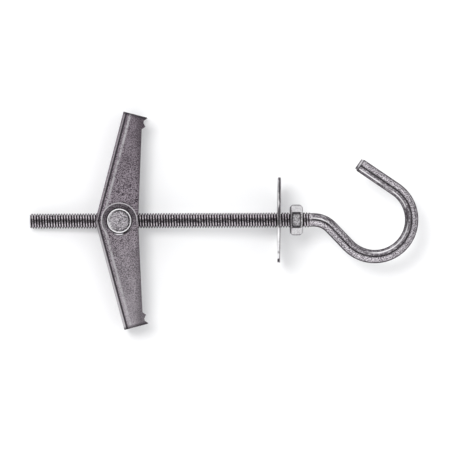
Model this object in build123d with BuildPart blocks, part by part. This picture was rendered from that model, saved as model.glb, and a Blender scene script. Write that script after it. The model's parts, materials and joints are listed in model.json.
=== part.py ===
"""Spring toggle with hook, M4, for a hollow ceiling.

A steel wire is threaded along its straight length and bent into a hook at the other end.
A cross pin (the trunnion) is screwed on the thread and carries two folded sheet-metal
wings, which a small torsion spring opens behind the ceiling panel. A large washer and a
hex nut close the hole from the room side.

Everything is placed from the rod's own frame: x along the rod from the cross pin to the
hook, y to the upper wing, z along the cross pin. The part lies on a floor at z = 0, on the
washer's rim and the far end of the cross pin. Millimetres and degrees.
"""

import os
from math import asin, atan, atan2, cos, degrees, hypot, pi, radians, sin, tan

from build123d import *

os.makedirs("parts", exist_ok=True)

# Rod: thread, then plain wire
thread_diameter = 3.9
wire_diameter = 3.5
rod_tail = 23.3
end_chamfer = 0.35
spare_thread = 1.7
thread_run_out = 0.6
plain_shank = 0.65

# Hook: neck bend, slanted run, bowl centred on the rod's axis, straight tip
neck_radius = 6.2
neck_turn = 46.6
bowl_radius = 9.6
tip_direction = 145.6
tip_length = 11.7
tip_chamfer = 0.3

# Nut, and the washer that stands loose in front of it
nut_distance = 44.2
nut_height = 3.3
nut_across_flats = 6.95
nut_chamfer = 0.6
thread_clearance = 0.05
nut_lead_in = 0.25
washer_diameter = 22.2
washer_thickness = 0.7
washer_hole = 4.5
washer_edge_round = 0.25
washer_gap = 2.35

# Trunnion: barrel round the rod, journals in the wings' ears, riveted heads
barrel_wall = 1.2
journal_shoulder = 0.6
journal_clearance = 0.05
head_lip = 0.55
head_height = 0.35
head_round = 0.15

# Torsion spring: one coil on each side of the rod
spring_wire = 0.4
spring_to_rod = 0.15
spring_to_barrel = 0.6
spring_turn_gap = 0.01
spring_to_ear = 0.06
spring_reach = 9.0
spring_bridge_radius = 0.9
spring_to_web = 0.12
free_leg_to_web = 0.8

# Wing: a channel with ears on the cross pin and two teeth at each side of its tip
sheet = 0.9
layer_gap = 0.05
ear_play = 0.1
ear_ring = 2.1
ear_to_web = 0.45
fold_radius = 2.1
relief_gap = 0.05
wing_length = 27.7
wing_lean = 14.8
flange_taper = 12.3
tooth_height = 0.75
tooth_run = 0.85
tooth_pitch = 2.3
seam_half_gap = 0.05
notch_clearance = 0.35

# How far a cut runs past the faces that it opens
overcut = 1.0

# Sizes that follow from those above
thread_radius = thread_diameter / 2
wire_radius = wire_diameter / 2
bore_radius = thread_radius + thread_clearance
washer_radius = washer_diameter / 2
washer_distance = nut_distance - washer_gap - washer_thickness
thread_front = nut_distance + nut_height + spare_thread
neck_start = thread_front + thread_run_out + plain_shank
neck_corner = neck_start + neck_radius * tan(radians(neck_turn / 2))
bowl_distance = neck_corner + bowl_radius / sin(radians(neck_turn))
slant_length = bowl_radius / tan(radians(neck_turn)) - neck_radius * tan(radians(neck_turn / 2))

barrel_radius = bore_radius + barrel_wall
journal_radius = barrel_radius - journal_shoulder
head_radius = journal_radius + head_lip

coil_radius = barrel_radius + spring_to_barrel + spring_wire / 2
coil_pitch = spring_wire + spring_turn_gap

ear_hole_radius = journal_radius + journal_clearance
ear_radius = ear_hole_radius + ear_ring
web_inside = ear_radius + ear_to_web
web_outside = web_inside + sheet
fold_inside_radius = fold_radius - sheet


def tangent_leg(reach, rise):
    """Angle of the tangent from a point (reach, rise) to the coil, and its length, in a wing's plane."""
    distance = hypot(reach, rise)
    slope = degrees(atan2(rise, reach) - asin(coil_radius / distance))
    return slope, (distance**2 - coil_radius**2) ** 0.5


bridge_slope, bridge_leg = tangent_leg(spring_reach, web_inside - spring_wire / 2 - spring_to_web)
free_slope, free_leg = tangent_leg(spring_reach, web_inside - spring_wire / 2 - free_leg_to_web)
coil_start = 180 - wing_lean + bridge_slope
coil_sweep = 360 + 2 * wing_lean - bridge_slope - free_slope
coil_rise = coil_pitch * coil_sweep / 360
coil_slope = coil_pitch / (2 * pi * coil_radius)

coil_low = thread_radius + spring_to_rod + spring_wire / 2
coil_high = coil_low + coil_rise
inner_ear = coil_high + free_leg * coil_slope + spring_wire / 2 + spring_to_ear
outer_ear = inner_ear + sheet + layer_gap
barrel_half_length = inner_ear - ear_play
head_inside = outer_ear + sheet + layer_gap
head_outside = head_inside + head_height

# How the part lies: the washer's rim is one support, and the one it tips back on is
# whichever of the rod's tail, the pin's head and the wings' fold meets the floor first
supports = (
    (-rod_tail, thread_radius),
    (-head_radius + head_round, head_outside),
    (-(web_outside - fold_radius) * cos(radians(wing_lean)), outer_ear + sheet),
)
pitch = min(atan((washer_radius - depth) / (washer_distance - x)) for x, depth in supports)
pin_height = washer_radius * cos(pitch) - washer_distance * sin(pitch)
hook_reach = (bowl_distance + bowl_radius) * cos(pitch) + wire_radius
tail_reach = rod_tail * cos(pitch) + (thread_radius - end_chamfer) * sin(pitch)

rod_frame = Plane(
    origin=((tail_reach - hook_reach) / 2, 0, pin_height),
    x_dir=(cos(pitch), 0, sin(pitch)),
    z_dir=(-sin(pitch), 0, cos(pitch)),
)
rod_axis = Axis(rod_frame.origin, rod_frame.x_dir)
pin_axis = Axis(rod_frame.origin, rod_frame.z_dir)


def across_rod(x):
    """Plane square to the rod at a distance x from the cross pin, its own x toward the upper wing."""
    at = rod_frame.from_local_coords(Vector(x, 0, 0))
    return Plane(at, x_dir=rod_frame.y_dir, z_dir=rod_frame.x_dir)


# Hook rod: the straight length turned about the rod's axis, then the wire carried round the hook
with BuildPart() as hook_rod:
    with BuildSketch(rod_frame):
        with BuildLine():
            Polyline(
                (-rod_tail, 0),
                (-rod_tail, thread_radius - end_chamfer),
                (-rod_tail + end_chamfer, thread_radius),
                (thread_front, thread_radius),
                (thread_front + thread_run_out, wire_radius),
                (neck_start, wire_radius),
                (neck_start, 0),
                close=True,
            )
        make_face()
    revolve(axis=rod_axis)
    with BuildLine(rod_frame) as hook_path:
        neck = JernArc((neck_start, 0), (1, 0), neck_radius, -neck_turn)
        slant = PolarLine(neck @ 1, slant_length, direction=neck % 1)
        bowl = JernArc(slant @ 1, slant % 1, bowl_radius, neck_turn + tip_direction)
        tip = PolarLine(bowl @ 1, tip_length, direction=bowl % 1)
    with BuildSketch(across_rod(neck_start)):
        Circle(wire_radius)
    sweep(path=hook_path.line)
    chamfer(hook_rod.faces().sort_by_distance(tip @ 1)[0].edges(), tip_chamfer)

hook_rod.part.label = "hook_rod"
export_step(hook_rod.part, "parts/hook_rod.step")


# Hex nut: corners above and below the rod, both faces chamfered, lead-in at both ends of the bore
with BuildPart() as hex_nut:
    with BuildSketch(across_rod(nut_distance)):
        RegularPolygon(nut_across_flats / 2, 6, major_radius=False)
    extrude(amount=nut_height)
    corner_radius = nut_across_flats / 2 / cos(pi / 6)
    face_radius = corner_radius - nut_chamfer
    chamfer_height = nut_chamfer * tan(pi / 6)
    with BuildSketch(rod_frame):
        with BuildLine():
            Polyline(
                (nut_distance, bore_radius + nut_lead_in),
                (nut_distance, face_radius),
                (nut_distance + chamfer_height, corner_radius),
                (nut_distance + nut_height - chamfer_height, corner_radius),
                (nut_distance + nut_height, face_radius),
                (nut_distance + nut_height, bore_radius + nut_lead_in),
                (nut_distance + nut_height - nut_lead_in, bore_radius),
                (nut_distance + nut_lead_in, bore_radius),
                close=True,
            )
        make_face()
    revolve(axis=rod_axis, mode=Mode.INTERSECT)

hex_nut.part.label = "hex_nut"
export_step(hex_nut.part, "parts/hex_nut.step")


# Washer: a punched disc, its rim rounded on the side of the nut
with BuildPart() as washer:
    with BuildSketch(across_rod(washer_distance)):
        Circle(washer_radius)
        Circle(washer_hole / 2, mode=Mode.SUBTRACT)
    extrude(amount=washer_thickness)
    nut_side = washer.faces().sort_by(rod_axis)[-1]
    fillet(nut_side.outer_wire().edges(), washer_edge_round)

washer.part.label = "washer"
export_step(washer.part, "parts/washer.step")


# Trunnion: turned about the cross pin, with a cross hole for the rod
with BuildPart() as trunnion:
    with BuildSketch(Plane(rod_frame.origin, x_dir=rod_frame.x_dir, z_dir=-rod_frame.y_dir)):
        with BuildLine():
            outline = Polyline(
                (0, head_outside),
                (head_radius - head_round, head_outside),
                (head_radius, head_outside - head_round),
                (head_radius, head_inside),
                (journal_radius, head_inside),
                (journal_radius, barrel_half_length),
                (barrel_radius, barrel_half_length),
                (barrel_radius, 0),
            )
            mirror(outline, about=Plane.XZ)
            Line((0, head_outside), (0, -head_outside))
        make_face()
    revolve(axis=pin_axis)
    with BuildSketch(across_rod(0)):
        Circle(bore_radius)
    extrude(amount=barrel_radius + overcut, both=True, mode=Mode.SUBTRACT)

trunnion.part.label = "trunnion"
export_step(trunnion.part, "parts/trunnion.step")


# Spring: half of it carried along a free leg, one coil and one leg of the bridge, then mirrored
# across the rod. The bridge presses on the upper wing's web and the free legs on the lower one's
coil_frame = rod_frame * Pos(0, 0, coil_low) * Rot(0, 0, coil_start)
coil = coil_frame * Helix(coil_pitch, coil_rise, coil_radius)
free_line = Line(coil @ 1, coil @ 1 + (coil % 1) * free_leg)
bridge_corner = coil @ 0 - (coil % 0) * bridge_leg
bridge_middle = bridge_corner - rod_frame.z_dir * rod_frame.to_local_coords(bridge_corner).Z
bridge_line = FilletPolyline(bridge_middle, bridge_corner, coil @ 0, radius=spring_bridge_radius)
spring_path = Wire([*bridge_line.edges(), *coil.edges(), *free_line.edges()])

with BuildPart() as spring:
    with BuildSketch(Plane(bridge_middle, z_dir=spring_path % 0)):
        Circle(spring_wire / 2)
    sweep(path=spring_path)
    mirror(about=rod_frame)

spring.part.label = "spring"
export_step(spring.part, "parts/spring.step")


def folded_wing(side):
    """One wing, standing on the upper side (1) or the lower side (-1) of the rod.

    Both are the same stamping, turned head to tail. In its plane x runs from the cross pin
    to the tip, y from the pin to the web, and z along the pin, with the outer ear at -z.
    """
    lean = radians(wing_lean)
    taper = radians(flange_taper)
    along = rod_frame.x_dir * sin(lean) + rod_frame.y_dir * (side * cos(lean))
    plane = Plane(rod_frame.origin, x_dir=along, z_dir=rod_frame.z_dir * side)
    section = Plane(rod_frame.origin, x_dir=plane.y_dir, z_dir=plane.x_dir)

    outer_face = -(outer_ear + sheet)
    inner_face = inner_ear + sheet
    edge_start = (ear_radius * sin(taper), -ear_radius * cos(taper))
    teeth_start = wing_length - tooth_pitch - tooth_run
    root = edge_start[1] + (teeth_start - edge_start[0]) * tan(taper)
    seam_reach = ear_radius - seam_half_gap
    relief_end = edge_start[0] + (fold_inside_radius - edge_start[1] - web_inside) / tan(taper)

    with BuildPart() as wing:
        # The sheet folded to a channel, open on the side of the hook
        with BuildSketch(section):
            with BuildLine():
                FilletPolyline(
                    (-web_outside, outer_face),
                    (web_outside, outer_face),
                    (web_outside, inner_face),
                    (-web_outside, inner_face),
                    radius=fold_radius,
                )
                offset(amount=sheet, side=Side.LEFT)
            make_face()
        extrude(amount=wing_length + overcut, both=True)

        # Both flanges: ear, tapered open edge and teeth. The web ends where the wings meet
        with BuildSketch(plane):
            with BuildLine():
                Polyline(
                    (0, 0),
                    edge_start,
                    (teeth_start, root),
                    (wing_length - tooth_pitch, root - tooth_height),
                    (wing_length - tooth_pitch + tooth_run, root),
                    (wing_length - tooth_run, root),
                    (wing_length, root - tooth_height),
                    (wing_length, web_outside),
                    ((seam_half_gap - web_outside * sin(lean)) / cos(lean), web_outside),
                    (
                        seam_half_gap * cos(lean) - seam_reach * sin(lean),
                        seam_half_gap * sin(lean) + seam_reach * cos(lean),
                    ),
                    close=True,
                )
            make_face()
            Circle(ear_radius)
        extrude(amount=outer_ear + sheet + overcut, both=True, mode=Mode.INTERSECT)

        # Holes for the cross pin, and the half-round end of the web round the rod
        with BuildSketch(plane):
            Circle(ear_hole_radius)
        extrude(amount=outer_ear + sheet + overcut, both=True, mode=Mode.SUBTRACT)
        with BuildSketch(across_rod(0)):
            Circle(thread_radius + notch_clearance)
        extrude(amount=2 * web_outside, both=True, mode=Mode.SUBTRACT)

        # The fold is struck square inside the outer ear, so that the other wing's ear can turn
        with BuildSketch(plane.offset(-outer_ear)):
            with Locations((relief_end, web_inside - relief_gap)):
                Rectangle(relief_end + web_outside, web_inside, align=(Align.MAX, Align.MAX))
        extrude(amount=fold_inside_radius, mode=Mode.SUBTRACT)

    return wing.part


for side, name in ((1, "upper_wing"), (-1, "lower_wing")):
    wing = folded_wing(side)
    wing.label = name
    export_step(wing, f"parts/{name}.step")
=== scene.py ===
import json

import bmesh
import bpy
import numpy as np
from mathutils import Matrix


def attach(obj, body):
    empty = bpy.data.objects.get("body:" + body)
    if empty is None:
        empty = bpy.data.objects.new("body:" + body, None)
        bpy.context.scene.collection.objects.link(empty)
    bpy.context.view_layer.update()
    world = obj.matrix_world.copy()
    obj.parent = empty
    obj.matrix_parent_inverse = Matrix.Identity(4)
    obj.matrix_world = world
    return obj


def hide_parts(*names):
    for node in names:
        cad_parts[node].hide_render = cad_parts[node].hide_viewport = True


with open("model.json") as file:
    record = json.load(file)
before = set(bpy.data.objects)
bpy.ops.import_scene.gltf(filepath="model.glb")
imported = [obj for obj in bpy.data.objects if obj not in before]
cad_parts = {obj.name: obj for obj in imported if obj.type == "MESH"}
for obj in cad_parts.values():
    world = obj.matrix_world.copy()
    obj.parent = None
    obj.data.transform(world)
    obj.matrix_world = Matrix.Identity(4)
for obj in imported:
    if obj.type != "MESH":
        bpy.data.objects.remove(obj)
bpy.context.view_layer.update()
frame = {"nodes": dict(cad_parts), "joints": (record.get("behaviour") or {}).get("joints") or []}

# The rod's own axes, in millimetres from the centre of the cross pin: along the rod to the
# hook, across it to the upper wing, and up the cross pin. Every piece below is shaped on them.
joints = {joint["name"]: joint for joint in frame["joints"]}
pin_centre = np.array(joints["lower_wing_fold"]["pos_m"])
rod_along = np.array(joints["toggle_travel"]["axis"])
pin_up = np.array(joints["lower_wing_fold"]["axis"])
rod_axes = np.array([rod_along, np.cross(pin_up, rod_along), pin_up])


def on_the_rod(points):
    """Millimetres on the rod's axes to metres in the part.

    The place is the pin's centre plus each number along its own axis.
    """
    return pin_centre + points @ rod_axes / 1000


# Camera: a long lens straight above the rod, square to it, and a touch turned, so that the rod
# rises to the right as it does in the photograph.
view_centre = on_the_rod(np.array([27.4, -1.22, 0.0]))
view_distance, view_width, view_turn = 1.5, 0.117, np.radians(0.26)
camera_data = bpy.data.cameras.new("camera")
camera_data.lens = camera_data.sensor_width * view_distance / view_width
camera_data.clip_end = 10
camera = bpy.data.objects.new("camera", camera_data)
stance = np.eye(4)
stance[:3, 0] = np.cos(view_turn) * rod_axes[0] - np.sin(view_turn) * rod_axes[1]
stance[:3, 1] = np.sin(view_turn) * rod_axes[0] + np.cos(view_turn) * rod_axes[1]
stance[:3, 2] = pin_up
stance[:3, 3] = view_centre + pin_up * view_distance
camera.matrix_world = Matrix(stance.tolist())
bpy.context.scene.collection.objects.link(camera)
bpy.context.scene.camera = camera
bpy.context.scene.view_settings.view_transform = "Standard"


# Hook rod: one drawn steel wire. A thread is rolled on its straight length, which comes out a
# little fatter than the wire, and the rest is bent cold round a pin into the hook. Bright zinc
# plating, with painted shade in the thread's roots, rubbed dull on the inside of the bends.
thread_radius, wire_radius = 1.95, 1.75
thread_pitch, thread_depth = 0.7, 0.4
rod_tail, thread_front, thread_end, neck_start = -23.3, 49.2, 49.8, 50.45
end_radius, end_chamfer = 1.6, 0.35
neck_radius, neck_turn = 6.2, np.radians(46.6)
bowl_radius, tip_direction, tip_length = 9.6, np.radians(145.6), 11.7
tip_radius, tip_chamfer = 1.4, 0.8
run_out, root_share, flank_share = 0.9, 0.92, 0.62


def skin(name, rings, start=None, end=None, loop=False, **fields):
    """Closed mesh over rings of points, in the rod's millimetres.

    Each cell between two rings and two neighbouring points is a face. A start or end point
    closes the first or last ring with a fan, and a loop joins the last ring to the first. Where
    the volume comes out negative, every face is turned over. A field is one number for each
    point of the grid, kept on the mesh for its material.
    """
    count, around = rings.shape[:2]
    index = np.arange(count * around).reshape(count, around)
    base, ahead = (index, np.roll(index, -1, axis=0)) if loop else (index[:-1], index[1:])
    quads = np.stack([base, np.roll(base, -1, axis=1), np.roll(ahead, -1, axis=1), ahead], -1)
    quads = quads.reshape(-1, 4)
    points, fans = [rings.reshape(-1, 3)], []
    for ring, tip, order in ((index[0], start, 1), (index[-1], end, -1)):
        if tip is not None:
            pole = np.full(around, sum(len(p) for p in points))
            points.append(np.array([tip], float))
            fans.append(np.stack([pole, np.roll(ring, -1), ring][::order], -1))
    points = np.concatenate(points)
    triangles = np.concatenate([quads[:, :3], quads[:, [0, 2, 3]], *fans])
    a, b, c = (points[triangles[:, i]] for i in range(3))
    turn = -1 if np.sum(a * np.cross(b, c)) < 0 else 1
    faces = quads[:, ::turn].tolist() + [face for fan in fans for face in fan[:, ::turn].tolist()]
    mesh = bpy.data.meshes.new(name)
    mesh.from_pydata(on_the_rod(points), [], faces)
    for field, values in fields.items():
        full = np.zeros(len(points), np.float32)
        full[: count * around] = np.broadcast_to(values, (count, around)).ravel()
        full[count * around :] = full[count * around - 1]
        mesh.attributes.new(field, "FLOAT", "POINT").data.foreach_set("value", full)
    mesh.polygons.foreach_set("use_smooth", np.ones(len(mesh.polygons), bool))
    mesh.set_sharp_from_angle(angle=np.radians(40))
    piece = bpy.data.objects.new(name, mesh)
    bpy.context.scene.collection.objects.link(piece)
    return piece


# The slant is as long as puts the bowl's centre on the rod's axis
slant_length = bowl_radius / np.tan(neck_turn) - neck_radius * np.tan(neck_turn / 2)
bowl_length = bowl_radius * (neck_turn + tip_direction)
bends = np.cumsum([neck_start, neck_radius * neck_turn, slant_length, bowl_length, tip_length])
run = np.concatenate(
    [
        np.arange(rod_tail, neck_start, thread_pitch / 12),
        np.linspace(neck_start, bends[-1] - tip_chamfer, 230),
        [bends[-1]],
    ]
)
# The heading turns evenly in each bend, and the wire's centre is the running sum of short steps
heading = np.interp(run, bends, [0, -neck_turn, -neck_turn, tip_direction, tip_direction])
middle = (heading[1:] + heading[:-1]) / 2
centre = np.zeros((len(run), 3))
centre[:, 0] = rod_tail + np.concatenate([[0], np.cumsum(np.diff(run) * np.cos(middle))])
centre[:, 1] = np.concatenate([[0], np.cumsum(np.diff(run) * np.sin(middle))])
inward = np.stack([-np.sin(heading), np.cos(heading), np.zeros(len(run))], -1)
angle = np.linspace(0, 2 * np.pi, 40, endpoint=False)
# Right-hand thread: a ridge once a pitch along the rod, later by the share of a turn about it
share = np.abs(2 * ((run[:, None] / thread_pitch - angle / (2 * np.pi)) % 1) - 1)
ridge = np.clip((root_share - share) / flank_share, 0, 1)
ridge = ridge * ridge * (3 - 2 * ridge)
fade = np.clip((thread_end - run) / run_out, 0, 1)[:, None]
body = np.interp(run, [thread_front, thread_end], [thread_radius, wire_radius])[:, None]
# Both ends taper: a chamfer at the tail and a cone at the hook's tip
ends = np.interp(
    run,
    [rod_tail, rod_tail + end_chamfer, bends[-1] - tip_chamfer, bends[-1]],
    [end_radius, thread_radius, thread_radius, tip_radius],
)[:, None]
radius = np.minimum(body - thread_depth * fade * (1 - ridge), ends)
rings = centre[:, None] + radius[..., None] * (
    np.cos(angle)[:, None] * inward[:, None] + np.sin(angle)[:, None] * np.array([0.0, 0.0, 1.0])
)
hook = skin(
    "threaded_hook",
    rings,
    start=centre[0],
    end=centre[-1],
    run_mm=run[:, None],
    inner_side=np.cos(angle),
    near_side=np.sin(angle),
    thread_root=fade * (1 - ridge),
)


def adder(tree):
    """Function that adds a node to a tree.

    An input is a value or the socket that feeds it, and a setting is the node's own.
    """

    def add(kind, inputs, **settings):
        made = tree.nodes.new(kind)
        for key, value in settings.items():
            setattr(made, key, value)
        for key, value in inputs.items():
            if isinstance(value, bpy.types.NodeSocket):
                tree.links.new(value, made.inputs[key])
            else:
                made.inputs[key].default_value = value
        return made

    return add


def new_material(name):
    """Empty node-based material, and the function that adds nodes to it."""
    material = bpy.data.materials.new(name)
    material.use_nodes = True
    material.node_tree.nodes.clear()
    return material, adder(material.node_tree)


def between(add, amount, low, high):
    """Colour between low and high: low at an amount of 0, high at 1."""
    return add("ShaderNodeMix", {0: amount, 6: low, 7: high}, data_type="RGBA").outputs[2]


def ramp(add, value, from_min, from_max, to_min=0.0, to_max=1.0):
    """Number that goes evenly from to_min to to_max as the value goes from from_min to from_max.

    It stays at either limit beyond them.
    """
    limits = {"From Min": from_min, "From Max": from_max, "To Min": to_min, "To Max": to_max}
    return add("ShaderNodeMapRange", {"Value": value, **limits}).outputs[0]


def field_of(add, name):
    """A piece's own field, as skin keeps it on the mesh."""
    return add("ShaderNodeAttribute", {}, attribute_name=name).outputs["Fac"]


def worked_out(add, operation, *numbers):
    """Result of one of the Math node's operations."""
    return add("ShaderNodeMath", dict(enumerate(numbers)), operation=operation).outputs[0]


def times(add, first, second):
    """Product of two numbers."""
    return worked_out(add, "MULTIPLY", first, second)


def larger(add, first, second):
    """The larger of two numbers."""
    return worked_out(add, "MAXIMUM", first, second)


def noise(add, place, scale, detail=1.0):
    """Smooth noise about 0.5, with its scale in lumps to a unit of the place."""
    inputs = {"Vector": place, "Scale": scale, "Detail": detail}
    return add("ShaderNodeTexNoise", inputs).outputs["Fac"]


def place_of(add):
    """A point's place on its piece, in metres."""
    return add("ShaderNodeTexCoord", {}).outputs["Object"]


def away_from(add, first, second, centre):
    """Distance from a centre, across the plane of two of the piece's fields."""
    fields = {"X": field_of(add, first), "Y": field_of(add, second)}
    ends = {0: add("ShaderNodeCombineXYZ", fields).outputs[0], 1: (*centre, 0.0)}
    return add("ShaderNodeVectorMath", ends, operation="DISTANCE").outputs["Value"]


def stripe(add, value, middle, half_width):
    """Mask of a soft line: 1 where the value is at the middle, evenly down to 0 each side."""
    away = worked_out(add, "ABSOLUTE", worked_out(add, "SUBTRACT", value, middle))
    return ramp(add, away, 0.0, half_width, 1.0, 0.0)


# Grain of zinc plating, used on every piece: fine crystals over wide cloudy patches, both from
# noise on a place in millimetres. Shade runs from 0, dull, to 1, bright.
grain = bpy.data.node_groups.new("zinc_grain", "ShaderNodeTree")
grain.interface.new_socket("Crystals", in_out="INPUT", socket_type="NodeSocketFloat")
grain.interface.new_socket("Clouds", in_out="INPUT", socket_type="NodeSocketFloat")
grain.interface.new_socket("Shade", in_out="OUTPUT", socket_type="NodeSocketFloat")
grain.interface.new_socket("Height", in_out="OUTPUT", socket_type="NodeSocketFloat")
add = adder(grain)
given = add("NodeGroupInput", {})
place = add("ShaderNodeTexCoord", {}).outputs["Object"]
in_mm = add("ShaderNodeVectorMath", {0: place, 1: (1000.0,) * 3}, operation="MULTIPLY").outputs[0]
crystals, clouds = (
    add(
        "ShaderNodeTexNoise",
        {"Vector": in_mm, "Scale": given.outputs[scale], "Detail": 2.0, "Roughness": rough},
    ).outputs["Fac"]
    for scale, rough in (("Crystals", 0.6), ("Clouds", 0.5))
)
both = add("ShaderNodeMix", {0: 0.12, 2: crystals, 3: clouds}).outputs[0]
add("NodeGroupOutput", {"Shade": ramp(add, both, 0.4, 0.6), "Height": crystals})


def plating(add, crystals, clouds):
    """The zinc grain placed in a material, with its crystals and clouds to the millimetre."""
    made = add("ShaderNodeGroup", {}, node_tree=grain)
    made.inputs["Crystals"].default_value, made.inputs["Clouds"].default_value = crystals, clouds
    return made.outputs["Shade"], made.outputs["Height"]


def metal(add, colour, roughness, height, distance):
    """Bare metal of a colour and roughness, raised by a height of 0 to 1 over a distance in metres."""
    bump = add("ShaderNodeBump", {"Height": height, "Distance": distance, "Strength": 1.0})
    made = {"Base Color": colour, "Metallic": 1.0, "Roughness": roughness, "Normal": bump.outputs[0]}
    # Plated steel is dimmer than bare metal at a glancing angle
    made["Specular Tint"] = (0.5, 0.49, 0.5, 1)
    shader = add("ShaderNodeBsdfPrincipled", made)
    add("ShaderNodeOutputMaterial", {"Surface": shader.outputs[0]})


# Tones that several plated pieces share: near-black for dirt and painted shade, dark for
# tarnished zinc and painted shade, and bright for rubbed zinc and painted highlights
grime_and_shade, tarnish_and_shade, polish_and_highlight = (0.03, 0.027, 0.03, 1), (0.05, 0.043, 0.05, 1), (1.0, 0.98, 1.0, 1)

wire_zinc, add = new_material("wire_zinc")
shade, height = plating(add, 3.8, 0.6)
inner_side, near_side, run_mm = (field_of(add, name) for name in ("inner_side", "near_side", "run_mm"))
# A place drawn out along the wire, which follows its bends, for streaks in its wear and in its painted
# shade and highlights
drawn_out = {"X": times(add, run_mm, 0.3), "Y": inner_side, "Z": near_side}
on_the_wire = add("ShaderNodeCombineXYZ", drawn_out).outputs[0]
streaks = noise(add, on_the_wire, 3.4, 3.0)
speckled = between(add, ramp(add, shade, 0.1, 0.9), (0.15, 0.13, 0.15, 1), (0.76, 0.725, 0.76, 1))
# The bending pin pressed the inside of the bends dull, in streaks. Painted shade runs as a dark
# line down the middle, where the wire faces straight up and down, and in the bowl a painted
# highlight runs as one bright line on the inside, which comes and goes
on_the_hook = ramp(add, run_mm, thread_end, neck_start)
slant = (bends[1] + bends[2]) / 2
off_slant = ramp(add, stripe(add, run_mm, slant, 6.0), 0.3, 0.8, 1.0, 0.35)
pressed = times(add, ramp(add, inner_side, -0.15, 0.25), ramp(add, streaks, 0.38, 0.6, 0.2, 0.85))
pressed = times(add, times(add, pressed, off_slant), on_the_hook)
worn_and_shaded = between(add, pressed, speckled, (0.09, 0.08, 0.09, 1))
# Painted shade: a dark line down the middle of the wire, where it faces straight up and down
middle_shade = times(add, stripe(add, inner_side, 0.02, 0.13), ramp(add, streaks, 0.62, 0.42, 0.3, 1.0))
worn_and_shaded = between(add, times(add, middle_shade, on_the_hook), worn_and_shaded, grime_and_shade)
broken = noise(add, on_the_wire, 0.55)
# Painted highlight: one bright line on the inside of the bowl, which comes and goes
rub_and_highlight = ramp(add, stripe(add, inner_side, 0.56, 0.14), 0.0, 0.8)
rub_and_highlight = times(add, rub_and_highlight, ramp(add, broken, 0.39, 0.47))
rub_and_highlight = times(add, rub_and_highlight, ramp(add, run_mm, bends[2] + 5.0, bends[2] + 9.0))
# A second painted highlight runs as a bright line along the neck, up to the slant
neck_highlight = times(add, stripe(add, inner_side, 0.26, 0.12), stripe(add, run_mm, neck_start + 1.6, 4.2))
rub_and_highlight = larger(add, rub_and_highlight, times(add, neck_highlight, 1.3))
lined = between(add, rub_and_highlight, worn_and_shaded, polish_and_highlight)
# Painted shade runs dark along the outer edge of the bends, in short lengths
outer_edge_shade = times(add, ramp(add, inner_side, -0.72, -0.86), ramp(add, streaks, 0.38, 0.52, 0.25, 0.92))
lined = between(add, times(add, outer_edge_shade, on_the_hook), lined, tarnish_and_shade)
# Painted shade runs as a dark line along each side of the wire, toward its outline, which comes and
# goes
flank_line_shade = ramp(add, stripe(add, near_side, 0.3, 0.29), 0.0, 0.6, 0.0, 0.93)
flank_line_shade = times(add, flank_line_shade, ramp(add, streaks, 0.66, 0.5, 0.45, 1.0))
lined = between(add, flank_line_shade, lined, (0.035, 0.03, 0.035, 1))
# Painted highlights lie on the thread's crests to each side of its top, and painted shade runs
# dark along the top, which faces straight up, and along the sides toward the thread's outline
on_the_thread = ramp(add, run_mm, thread_end, thread_front)
crest_highlight = ramp(add, stripe(add, near_side, 0.76, 0.24), 0.0, 0.6)
crest_highlight = times(add, crest_highlight, ramp(add, streaks, 0.4, 0.5, 0.1, 1.0))
lined = between(add, times(add, crest_highlight, on_the_thread), lined, (0.66, 0.61, 0.65, 1))
top_shade = times(add, ramp(add, near_side, 0.9, 0.98), ramp(add, streaks, 0.36, 0.56, 0.0, 0.5))
flank_shade = ramp(add, stripe(add, near_side, 0.2, 0.4), 0.0, 0.5, 0.0, 0.9)
lined = between(add, times(add, larger(add, top_shade, flank_shade), on_the_thread), lined, tarnish_and_shade)
# Painted shade darkens the thread's roots
root_shade = ramp(add, field_of(add, "thread_root"), 0.15, 0.8, 0.0, 0.92)
lined = between(add, root_shade, lined, (0.04, 0.032, 0.037, 1))
# Both cut ends are bare of these marks. The tip's is ground to a cone, behind a dark line
tip_start = bends[-1] - tip_chamfer
ground = ramp(add, run_mm, tip_start + 0.05, tip_start + 0.15)
ground = larger(add, ground, ramp(add, run_mm, rod_tail + 0.2, rod_tail + 0.05))
lined = between(add, ground, lined, (0.6, 0.58, 0.6, 1))
tip_line = larger(add, stripe(add, run_mm, tip_start, 0.3), stripe(add, run_mm, bends[-1] - 0.1, 0.3))
metal(
    add,
    between(add, times(add, tip_line, 0.9), lined, grime_and_shade),
    ramp(add, shade, 0.0, 1.0, 0.26, 0.14),
    height,
    0.00002,
)
hook.data.materials.append(wire_zinc)
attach(hook, "rod")
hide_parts("hook_rod")


# Hex nut: cold-formed, with both ends rounded over and the corners cut back there. It is turned
# so that one side faces up, and its zinc is brighter than the rod's.
nut_start, nut_height, nut_side = 44.25, 3.4, 3.475
nut_face_radius, nut_bore, nut_lead_in = 3.3, 2.0, 0.25
shoulder_length, shoulder_drop, corner_slope, nut_rim = 0.66, 0.36, 1.2, 2.95
side_power, cone_power, frame_power = 90, 26, 5.0
across_side = np.array([0, 1.5, 3, 5, 8, 14, 22, 30, 38, 46, 52, 55, 57, 58.5])
nut_angle = np.radians((np.arange(6)[:, None] * 60 + across_side).ravel())
# A softened hexagon: the sides' distances join as a sum of high powers, which rounds the corners
side_angle = np.radians(30 + 60 * np.arange(6))
reach = np.clip(np.cos(nut_angle[:, None] - side_angle), 0, None) / nut_side
hexagon = np.sum(reach**side_power, axis=1) ** (-1 / side_power)
depth = np.array([0.03, 0.08, 0.14, 0.2, 0.26, 0.32, 0.4, 0.5, 0.6, 0.8, 1.2])
depth = np.concatenate([depth, [nut_height / 2], nut_height - depth[::-1]])
from_end = np.minimum(depth, nut_height - depth)
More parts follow.
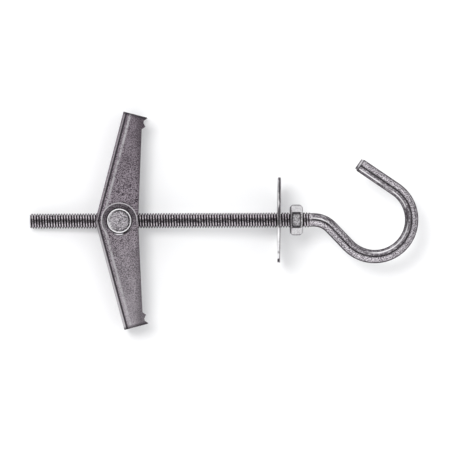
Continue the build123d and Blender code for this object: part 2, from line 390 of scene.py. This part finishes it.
# Toward each end the hexagon shrinks as a parabola, and a cone cuts its corners, joined to it
# by powers in the same way
shoulder = 1 - shoulder_drop / nut_side * np.clip(1 - from_end / shoulder_length, 0, 1) ** 2
cone = nut_face_radius + corner_slope * from_end
sides = (shoulder[:, None] * hexagon) ** -cone_power + cone[:, None] ** -cone_power
sides = sides ** (-1 / cone_power)
flat = np.ones_like(nut_angle)
nut_radius = np.concatenate(
    [
        [flat * nut_bore, flat * (nut_bore + nut_lead_in), flat * nut_rim],
        sides,
        [flat * nut_rim, flat * (nut_bore + nut_lead_in), flat * nut_bore],
    ]
)
nut_x = nut_start + np.concatenate(
    [[nut_lead_in, 0, 0], depth, [nut_height, nut_height, nut_height - nut_lead_in]]
)
rings = np.stack(
    [
        np.broadcast_to(nut_x[:, None], nut_radius.shape),
        nut_radius * np.cos(nut_angle),
        nut_radius * np.sin(nut_angle),
    ],
    -1,
)
on_the_ends = np.full(3, -1.0)
nut = skin(
    "formed_nut",
    rings,
    loop=True,
    from_washer_end=nut_x[:, None] - nut_start,
    to_corner=np.abs((np.degrees(nut_angle) % 60) - 30) / 30,
    level_side=np.abs(np.sin(nut_angle)),
    from_end=np.concatenate([on_the_ends, from_end, on_the_ends])[:, None],
)
nut_zinc, add = new_material("nut_zinc")
shade, height = plating(add, 2.8, 0.9)
# Painted shade: dark lines where the sides meet each other, round both ends, along the two outer
# corners, and in a frame on each of the two level sides, whose corners are rounded by powers too
from_end, to_corner = field_of(add, "from_end"), field_of(add, "to_corner")
corner = times(add, ramp(add, to_corner, 0.89, 0.94), ramp(add, from_end, 0.35, 0.75))
across = worked_out(add, "POWER", ramp(add, to_corner, 0.0, 1.0, 0.0, 1.05), frame_power)
lengthwise = ramp(add, from_end, nut_height / 2, 0.0, 0.0, 1.5)
framed = worked_out(add, "ADD", across, worked_out(add, "POWER", lengthwise, frame_power))
arc = ramp(add, stripe(add, framed, 1.0, 1.0), 0.0, 0.6)
level_side = field_of(add, "level_side")
on_level = ramp(add, level_side, 0.85, 0.88)
arc = times(add, arc, on_level)
outer_corner = ramp(add, level_side, 0.15, 0.09, 0.0, 0.8)
from_washer_end = field_of(add, "from_washer_end")
washer_end = ramp(add, from_washer_end, 0.3, 0.12)
hook_end = ramp(add, from_washer_end, nut_height - 0.2, nut_height - 0.08, 0.0, 0.7)
nut_shade_line = larger(add, larger(add, corner, arc), larger(add, washer_end, hook_end))
nut_shade_line = larger(add, nut_shade_line, outer_corner)
# The level sides lay on the others in the plating drum, and came out coarser than the rest
smooth = between(add, shade, (0.5, 0.49, 0.5, 1), (0.76, 0.75, 0.76, 1))
coarse = between(add, ramp(add, shade, 0.2, 0.7), (0.4, 0.38, 0.4, 1), (1.0, 0.98, 1.0, 1))
metal(
    add,
    between(
        add,
        times(add, nut_shade_line, 0.93),
        between(add, on_level, smooth, coarse),
        (0.04, 0.035, 0.04, 1),
    ),
    larger(add, ramp(add, shade, 0.0, 1.0, 0.32, 0.2), times(add, on_level, 0.37)),
    height,
    0.00003,
)
nut.data.materials.append(nut_zinc)
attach(nut, "nut")
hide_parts("hex_nut")


# Washer: punched from thin sheet, so its rim is bright, partly as painted reflection, and rolled
# over on one side and torn dull on the other. It stands loose on the thread and leans a little.
washer_start, washer_lean = 41.03, np.radians(0.8)
washer_thickness, washer_radius, washer_hole = 0.78, 11.1, 2.25
washer_angle = np.linspace(0, 2 * np.pi, 160, endpoint=False)
# Outline from the hole round the rim and back: how far through the sheet, and how far out
far, out, hole = washer_thickness, washer_radius, washer_hole
toggle_face = [(0.06, hole), (0, hole + 0.06), (0, 6), (0, out - 0.25), (0, out - 0.08)]
cut_rim = [(0.02, out - 0.02), (0.07, out), (0.38, out), (0.55, out)]
rolled_rim = [(0.66, out - 0.02), (0.73, out - 0.06), (far, out - 0.14)]
nut_face = [(far, out - 0.3), (far, 6), (far, hole + 0.06), (far - 0.06, hole)]
across_sheet, from_centre = np.array(toggle_face + cut_rim + rolled_rim + nut_face).T
# Bent a little, as two waves round the rim, and leaned over toward the hook at the top
dish = 0.05 * np.sin(2 * washer_angle + 0.6) * (from_centre[:, None] / washer_radius) ** 2
washer_y = from_centre[:, None] * np.cos(washer_angle)
washer_z = from_centre[:, None] * np.sin(washer_angle)
washer_x = washer_start + across_sheet[:, None] + dish + np.tan(washer_lean) * washer_y
rings = np.stack([washer_x, washer_y, washer_z], -1)
washer = skin(
    "punched_washer",
    rings,
    loop=True,
    through_sheet=across_sheet[:, None] / washer_thickness,
    rim=(from_centre[:, None] > washer_radius - 0.2).astype(float),
    upper_side=np.cos(washer_angle),
)
washer_zinc, add = new_material("washer_zinc")
shade, height = plating(add, 2.4, 0.4)
# The punch burnishes the first part of the rim, and the sheet then tears, which leaves a dark
# groove. How deep the burnish goes, and how deep the tear is, wander slowly round the rim
wander = noise(add, place_of(add), 260.0)
through = field_of(add, "through_sheet")
burnish_end = ramp(add, wander, 0.35, 0.65, 0.15, 0.5)
# Painted reflection makes the burnish brighter toward the lower side, and partly makes its wandering
# bright patches
lower_side_reflection = ramp(add, field_of(add, "upper_side"), 0.2, -0.6, 0.0, 0.25)
rub_and_highlight = worked_out(add, "ADD", wander, lower_side_reflection)
past_burnish = worked_out(add, "SUBTRACT", through, burnish_end)
torn = times(add, ramp(add, past_burnish, -0.04, 0.04), ramp(add, rub_and_highlight, 0.72, 0.64, 0.15, 1.0))
bright = between(add, ramp(add, rub_and_highlight, 0.42, 0.72), (0.28, 0.27, 0.28, 1), (0.95, 0.94, 0.95, 1))
burnish_and_reflection = between(add, torn, bright, tarnish_and_shade)
rolled_over = between(add, shade, (0.2, 0.19, 0.2, 1), (0.42, 0.41, 0.42, 1))
edge = between(add, ramp(add, through, 0.62, 0.72), burnish_and_reflection, rolled_over)
face = between(add, shade, (0.4, 0.39, 0.4, 1), (0.7, 0.69, 0.7, 1))
metal(
    add,
    between(add, field_of(add, "rim"), face, edge),
    ramp(add, shade, 0.0, 1.0, 0.4, 0.22),
    height,
    0.00002,
)
washer.data.materials.append(washer_zinc)
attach(washer, "washer")
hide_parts("washer")


# Wings: both the same stamping in thick sheet, folded to a channel, with its cut edges rounded
# by tumbling. Dull dark zinc, rough as sandpaper, with painted reflections as lines along the fold.
edge_round = 0.0002
wing_lean, wing_length = np.radians(14.8), 27.7
ear_radius, fold_start, fold_end, free_edge = 4.75, 4.17, 6.1, 5.4
head_edge = 3.15


def tumbled_sheet(name, node, side, *materials):
    """Copy of a wing's sheet, its points merged and flat faces joined, and its cut edges rounded over.

    The sheet keeps four distances from the cross pin, in millimetres: along the wing, square to it
    toward the web, along the rod to the hook, and from the rod's level to either side. Each is
    the point's place times a direction.
    """
    piece = bpy.data.objects.new(name, frame["nodes"][node].data.copy())
    bpy.context.scene.collection.objects.link(piece)
    shape = bmesh.new()
    shape.from_mesh(piece.data)
    bmesh.ops.remove_doubles(shape, verts=shape.verts, dist=2e-6)
    bmesh.ops.dissolve_limit(shape, angle_limit=np.radians(0.6), verts=shape.verts, edges=shape.edges)
    shape.to_mesh(piece.data)
    shape.free()
    points = np.zeros(len(piece.data.vertices) * 3)
    piece.data.vertices.foreach_get("co", points)
    points = (points.reshape(-1, 3) - pin_centre) @ rod_axes.T * 1000
    along_wing = points[:, :2] @ np.array([np.sin(wing_lean), side * np.cos(wing_lean)])
    to_web = points[:, :2] @ np.array([-np.cos(wing_lean), side * np.sin(wing_lean)])
    distances = {"along_wing": along_wing, "to_web": to_web, "to_hook": points[:, 0]}
    distances["off_level"] = np.abs(points[:, 2])
    for field, values in distances.items():
        attribute = piece.data.attributes.new(field, "FLOAT", "POINT")
        attribute.data.foreach_set("value", values.astype(np.float32))
    piece.data.materials.clear()
    for material in materials:
        piece.data.materials.append(material)
    polygons = piece.data.polygons
    polygons.foreach_set("material_index", np.zeros(len(polygons), np.int32))
    polygons.foreach_set("use_smooth", np.ones(len(polygons), bool))
    round_over = piece.modifiers.new("round_over", "BEVEL")
    round_over.limit_method = "ANGLE"
    round_over.angle_limit = np.radians(40)
    round_over.width = edge_round
    round_over.segments = 2
    round_over.material = 1
    round_over.harden_normals = True
    return piece


def sheet_zinc(name, dull, bright, tip, ear_on_top):
    """Zinc on a wing's sheet, speckled from dull to bright, and nearer a tip colour toward the end.

    Painted reflections lie along the fold: a light line where the fold starts, a dark one before
    it ends, and the fold pale from there to the web. Painted shade darkens the face toward the
    free edge. The end is dark, and so is the ear on top, round the head.
    """
    material, add = new_material(name)
    shade, height = plating(add, 4.6, 0.3)
    to_web, along = field_of(add, "to_web"), field_of(add, "along_wing")
    speckled = between(add, ramp(add, shade, 0.3, 0.7), dull, bright)
    speckled = between(add, ramp(add, along, 2.0, 26.0, 0.0, 0.6), speckled, tip)
    # Painted shade darkens the face toward the free edge
    free_edge_shade = ramp(add, field_of(add, "to_hook"), free_edge - 1.6, free_edge, 0.0, 0.5)
    speckled = between(add, free_edge_shade, speckled, (0.04, 0.03, 0.038, 1))
    # Painted highlight: a light line where the fold starts, broken by noise
    highlight_breaks = noise(add, place_of(add), 1700.0)
    fold_highlight = ramp(add, stripe(add, to_web, fold_start, 0.4), 0.0, 0.6)
    fold_highlight = times(add, fold_highlight, ramp(add, highlight_breaks, 0.36, 0.48, 0.25, 1.0))
    lined = between(add, fold_highlight, speckled, (0.55, 0.53, 0.55, 1))
    on_the_fold = ramp(add, field_of(add, "off_level"), 3.0, 3.5)
    # Painted reflection: the fold pale from there to the web
    web_reflection = times(add, ramp(add, to_web, fold_end - 0.7, fold_end - 0.5), on_the_fold)
    lined = between(add, web_reflection, lined, (0.55, 0.53, 0.55, 1))
    # Painted shade: a dark line before the fold ends
    fold_shade = ramp(add, stripe(add, to_web, fold_end - 0.84, 0.36), 0.0, 0.6)
    lined = between(add, times(add, fold_shade, times(add, on_the_fold, 0.95)), lined, tarnish_and_shade)
    cut_end = ramp(add, along, wing_length - 0.9, wing_length - 0.3, 0.0, 0.8)
    lined = between(add, cut_end, lined, tarnish_and_shade)
    if ear_on_top:
        from_pin = away_from(add, "along_wing", "to_web", (0.0, 0.0))
        above = ramp(add, along, 2.6, 0.6)
        ring = ramp(add, from_pin, ear_radius - 0.15, ear_radius - 0.35)
        lined = between(add, times(add, ring, times(add, above, 0.62)), lined, tarnish_and_shade)
        # Painted highlight along the upper part of the ear's round end
        ear_highlight = times(add, stripe(add, from_pin, ear_radius - 0.15, 0.17), above)
        lined = between(add, ear_highlight, lined, (0.8, 0.78, 0.8, 1))
        # A painted shadow runs dark right round the head. On the wing's side of it the riveting tool
        # pressed a wider dark groove, and a short bright one in the wide part
        groove = ramp(add, from_pin, head_edge + 0.8, head_edge + 0.5, 0.0, 0.9)
        lined = between(add, times(add, groove, ramp(add, along, 2.5, 3.2)), lined, grime_and_shade)
        head_shadow = ramp(add, from_pin, head_edge + 0.32, head_edge + 0.2, 0.0, 0.97)
        lined = between(add, head_shadow, lined, grime_and_shade)
        scuff = ramp(add, stripe(add, from_pin, head_edge + 0.41, 0.2), 0.0, 0.7)
        scuff = times(add, scuff, times(add, ramp(add, along, 2.9, 3.2), ramp(add, to_web, -0.2, 0.2)))
        lined = between(add, scuff, lined, polish_and_highlight)
    metal(add, lined, ramp(add, shade, 0.0, 1.0, 0.55, 0.4), height, 0.00005)
    return material


# The cut edges are dark, and a painted highlight lies on the ears' round ends, on their upper part
edge_zinc, add = new_material("edge_zinc")
shade, height = plating(add, 2.2, 0.8)
cut = between(add, shade, (0.04, 0.035, 0.04, 1), (0.13, 0.12, 0.13, 1))
ear_highlight = stripe(add, away_from(add, "along_wing", "to_web", (0.0, 0.0)), ear_radius, 0.5)
ear_highlight = times(add, ear_highlight, ramp(add, field_of(add, "along_wing"), 1.5, 0.0))
metal(
    add,
    between(add, ear_highlight, cut, polish_and_highlight),
    ramp(add, shade, 0.0, 1.0, 0.45, 0.3),
    height,
    0.00002,
)
# The upper wing is given darker tones than the lower, most of all toward its end
upper_tones = (0.05, 0.037, 0.048, 1), (0.54, 0.475, 0.53, 1), (0.2, 0.17, 0.195, 1)
lower_tones = (0.055, 0.042, 0.053, 1), (0.5, 0.445, 0.49, 1), (0.5, 0.465, 0.495, 1)
upper_zinc = sheet_zinc("upper_sheet_zinc", *upper_tones, False)
lower_zinc = sheet_zinc("lower_sheet_zinc", *lower_tones, True)
for node, side, zinc in (("upper_wing", 1, upper_zinc), ("lower_wing", -1, lower_zinc)):
    wing = tumbled_sheet(node + "_sheet", node, side, zinc, edge_zinc)
    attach(wing, node)
    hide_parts(node)


# Trunnion: a turned pin whose ends are riveted over the ears. The near end shows a rough flat
# face inside a bright rolled rim.
pin_zinc, add = new_material("pin_zinc")
shade, height = plating(add, 3.2, 0.9)
# On the near head a broken dark line runs just inside the rim, and the rolling tool, a little
# off the middle, left a pale crescent
from_axis = away_from(add, "head_along", "head_across", (0.0, 0.0))
off_middle = away_from(add, "head_along", "head_across", (0.5, 0.08))
crescent = times(add, ramp(add, off_middle, 2.72, 2.9), ramp(add, shade, 0.1, 0.6, 0.35, 0.9))
faced = between(add, shade, (0.16, 0.145, 0.16, 1), (0.8, 0.76, 0.8, 1))
faced = between(add, crescent, faced, polish_and_highlight)
inner_line = ramp(add, stripe(add, from_axis, 2.68, 0.34), 0.0, 0.45)
inner_line = times(add, inner_line, ramp(add, shade, 1.0, 0.5, 0.6, 1.0))
inner_line = times(add, inner_line, ramp(add, off_middle, 3.1, 2.8))
metal(
    add,
    between(add, inner_line, faced, grime_and_shade),
    ramp(add, shade, 0.0, 1.0, 0.6, 0.4),
    height,
    0.00008,
)
rim_zinc, add = new_material("rim_zinc")
shade, height = plating(add, 3.0, 0.9)
metal(
    add,
    between(add, shade, (0.92, 0.91, 0.92, 1), (1.0, 0.99, 1.0, 1)),
    ramp(add, shade, 0.0, 1.0, 0.3, 0.2),
    height,
    0.00001,
)
trunnion = frame["nodes"]["trunnion"]
trunnion.data.materials.clear()
trunnion.data.materials.append(pin_zinc)
head_angle = np.linspace(0, 2 * np.pi, 96, endpoint=False)
# Outline from the face over the rim and down to the seat: how far from the axis, and how high
head_face, head_seat, rim_start = 5.43, 5.045, 2.86
face_line = [(1.2, head_face), (1.8, head_face), (2.2, head_face), (2.6, 5.42), (2.72, 5.4)]
rim_line = [(2.82, 5.38), (2.87, 5.44), (2.9, 5.475), (2.96, 5.455), (3.04, 5.42), (3.11, 5.38)]
side_line = [(3.17, 5.28), (3.19, 5.12), (3.17, 5.05), (2.7, head_seat)]
from_pin_axis, head_height = np.array(face_line + rim_line + side_line).T
rings = np.stack(
    [
        from_pin_axis[:, None] * np.cos(head_angle),
        from_pin_axis[:, None] * np.sin(head_angle),
        np.broadcast_to(head_height[:, None], (len(head_height), len(head_angle))),
    ],
    -1,
)
head = skin(
    "riveted_head",
    rings,
    start=(0, 0, head_face),
    end=(0, 0, head_seat),
    head_along=rings[..., 0],
    head_across=rings[..., 1],
)
head.data.materials.append(pin_zinc)
head.data.materials.append(rim_zinc)
face_centres = np.array([face.center for face in head.data.polygons]) - pin_centre
reach = np.linalg.norm(face_centres @ rod_axes.T[:, :2] * 1000, axis=1)
head.data.polygons.foreach_set("material_index", (reach > rim_start).astype(np.int32))
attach(head, "toggle")


# Spring: two coils of bare steel wire round the trunnion, one each side of the rod, joined by a
# bridge that presses on the upper wing. Each coil's other end presses on the lower wing.
spring_wire, coil_radius, coil_pitch = 0.4, 4.0, 0.41
coil_low, coil_start, coil_sweep = 2.3, np.radians(170.67), np.radians(382.86)
bridge_leg, bridge_bend, free_leg, wing_fold = 9.42, 0.9, 9.09, np.radians(75)


def wire_round(name, paths, across):
    """Round wires along paths, their rings set square to them by a direction that no path takes."""
    turn = np.linspace(0, 2 * np.pi, 12, endpoint=False)
    pieces = []
    for path in paths:
        forward = np.gradient(path, axis=0)
        forward /= np.linalg.norm(forward, axis=1)[:, None]
        side = np.cross(across, forward)
        side /= np.linalg.norm(side, axis=1)[:, None]
        top = np.cross(forward, side)
        rings = path[:, None] + spring_wire / 2 * (
            np.cos(turn)[:, None] * side[:, None] + np.sin(turn)[:, None] * top[:, None]
        )
        pieces.append(skin(name, rings, start=path[0], end=path[-1]))
    with bpy.context.temp_override(active_object=pieces[0], selected_editable_objects=pieces):
        bpy.ops.object.join()
    return pieces[0]


spring_steel, add = new_material("spring_steel")
shade, height = plating(add, 3.0, 0.8)
metal(
    add,
    between(add, shade, (0.2, 0.2, 0.21, 1), (0.4, 0.4, 0.41, 1)),
    ramp(add, shade, 0.0, 1.0, 0.45, 0.3),
    height,
    0.00001,
)
# The coil runs on past both legs by the angle that a wing folds, so that it meets them all the way
sweep = np.linspace(-wing_fold, coil_sweep + wing_fold, 220)
coil = np.stack(
    [
        coil_radius * np.cos(coil_start + sweep),
        coil_radius * np.sin(coil_start + sweep),
        coil_low + coil_pitch * np.clip(sweep, 0, coil_sweep) / (2 * np.pi),
    ],
    -1,
)
mirror = np.array([1, 1, -1])
coils = wire_round("spring_coils", [coil, coil * mirror], np.array([0.0, 0.0, 1.0]))
# Each free leg leaves its coil's end straight on, and rises at the coil's slope
coil_end = coil_start + coil_sweep
coil_high = coil_low + coil_pitch * coil_sweep / (2 * np.pi)
leg_start = np.array([coil_radius * np.cos(coil_end), coil_radius * np.sin(coil_end), coil_high])
leg_line = np.array([-np.sin(coil_end), np.cos(coil_end), coil_pitch / (2 * np.pi * coil_radius)])
leg = leg_start + np.linspace(0, free_leg, 24)[:, None] * leg_line
legs = wire_round("spring_legs", [leg, leg * mirror], np.array([0.0, 0.0, 1.0]))
# The bridge goes out from one coil, round a bend, across the rod's level and back the same way
bend = np.linspace(0, np.pi / 2, 10)
bend_start = bridge_leg - bridge_bend
straight = np.linspace(0, bend_start, 20)[:-1]
reach = np.concatenate([straight, bend_start + bridge_bend * np.sin(bend)])
rise = coil_low - bridge_bend + bridge_bend * np.cos(bend)
rise = np.concatenate([np.full(len(straight), coil_low), rise])
reach, rise = np.concatenate([reach, reach[::-1]]), np.concatenate([rise, -rise[::-1]])
root = coil_radius * np.array([np.cos(coil_start), np.sin(coil_start), 0.0])
away = np.array([np.sin(coil_start), -np.cos(coil_start), 0.0])
bridge_path = root + reach[:, None] * away + rise[:, None] * np.array([0.0, 0.0, 1.0])
bridge = wire_round("spring_bridge", [bridge_path], root / coil_radius)
for piece, carrier in ((coils, "toggle"), (legs, "lower_wing"), (bridge, "upper_wing")):
    piece.data.materials.clear()
    piece.data.materials.append(spring_steel)
    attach(piece, carrier)
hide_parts("spring")


# Studio: a wide pale floor, a bright tent with a dim opening above for the camera, dimmer past
# both ends of the rod, and one soft lamp high on the upper left that draws the shadow.
floor_reach, lamp_slant = 3, 0.22
floor_corners = [(x * floor_reach, y * floor_reach, 0) for x, y in ((-1, -1), (1, -1), (1, 1), (-1, 1))]
floor_mesh = bpy.data.meshes.new("floor")
floor_mesh.from_pydata(floor_corners, [], [(0, 1, 2, 3)])
floor = bpy.data.objects.new("floor", floor_mesh)
bpy.context.scene.collection.objects.link(floor)
paper, add = new_material("paper")
# The paper glows a little where it is looked at or mirrored, and throws no light of its own
path = add("ShaderNodeLightPath", {}).outputs
seen = larger(add, path["Is Camera Ray"], path["Is Glossy Ray"])
seen = larger(add, seen, path["Is Transmission Ray"])
matte = add("ShaderNodeBsdfDiffuse", {"Color": (0.85, 0.85, 0.85, 1)})
glow = add("ShaderNodeEmission", {"Color": (0.94, 0.97, 1.0, 1), "Strength": times(add, seen, 0.12)})
add(
    "ShaderNodeOutputMaterial",
    {"Surface": add("ShaderNodeAddShader", {0: matte.outputs[0], 1: glow.outputs[0]}).outputs[0]},
)
floor.data.materials.append(paper)

tent = bpy.data.worlds.new("tent")
tent.use_nodes = True
tent.node_tree.nodes.clear()
add = adder(tent.node_tree)
direction = add("ShaderNodeTexCoord", {}).outputs["Generated"]
upward, endwise = (
    add(
        "ShaderNodeVectorMath",
        {0: direction, 1: tuple(axis)},
        operation="DOT_PRODUCT",
    ).outputs["Value"]
    for axis in (pin_up, rod_along)
)
from_above = worked_out(add, "ARCCOSINE", upward)
wall = add("ShaderNodeValToRGB", {"Fac": ramp(add, from_above, 0.0, np.pi)})
# Level of the tent by the angle from straight above, in degrees
stops = [(0, 0.04), (7, 0.06), (13, 0.4), (24, 0.85), (40, 1.25), (60, 1.1), (80, 0.9), (90, 0.85)]
while len(wall.color_ramp.elements) < len(stops):
    wall.color_ramp.elements.new(0.5)
for stop, (degrees, level) in zip(wall.color_ramp.elements, stops):
    stop.position = degrees / 180
    stop.color = (level, level, level * 1.01, 1)
past_the_ends = ramp(add, worked_out(add, "ABSOLUTE", endwise), 0.35, 0.95, 0.0, 0.5)
dimmed = between(add, past_the_ends, wall.outputs["Color"], (0.05, 0.05, 0.05, 1))
lit = add("ShaderNodeBackground", {"Color": dimmed, "Strength": 1.0})
add("ShaderNodeOutputWorld", {"Surface": lit.outputs[0]})
bpy.context.scene.world = tent

lamp_data = bpy.data.lights.new("key", "SUN")
lamp_data.energy = 1.3
lamp_data.angle = np.radians(18)
lamp = bpy.data.objects.new("key", lamp_data)
bpy.context.scene.collection.objects.link(lamp)
lamp_from = pin_up + lamp_slant * (rod_axes[1] - rod_axes[0])
lamp_from /= np.linalg.norm(lamp_from)
lamp_side = np.cross((0.0, 1.0, 0.0), lamp_from)
lamp_side /= np.linalg.norm(lamp_side)
stance = np.eye(4)
stance[:3, 0], stance[:3, 1], stance[:3, 2] = lamp_side, np.cross(lamp_from, lamp_side), lamp_from
stance[:3, 3] = lamp_from
lamp.matrix_world = Matrix(stance.tolist())
lamp.visible_glossy = False
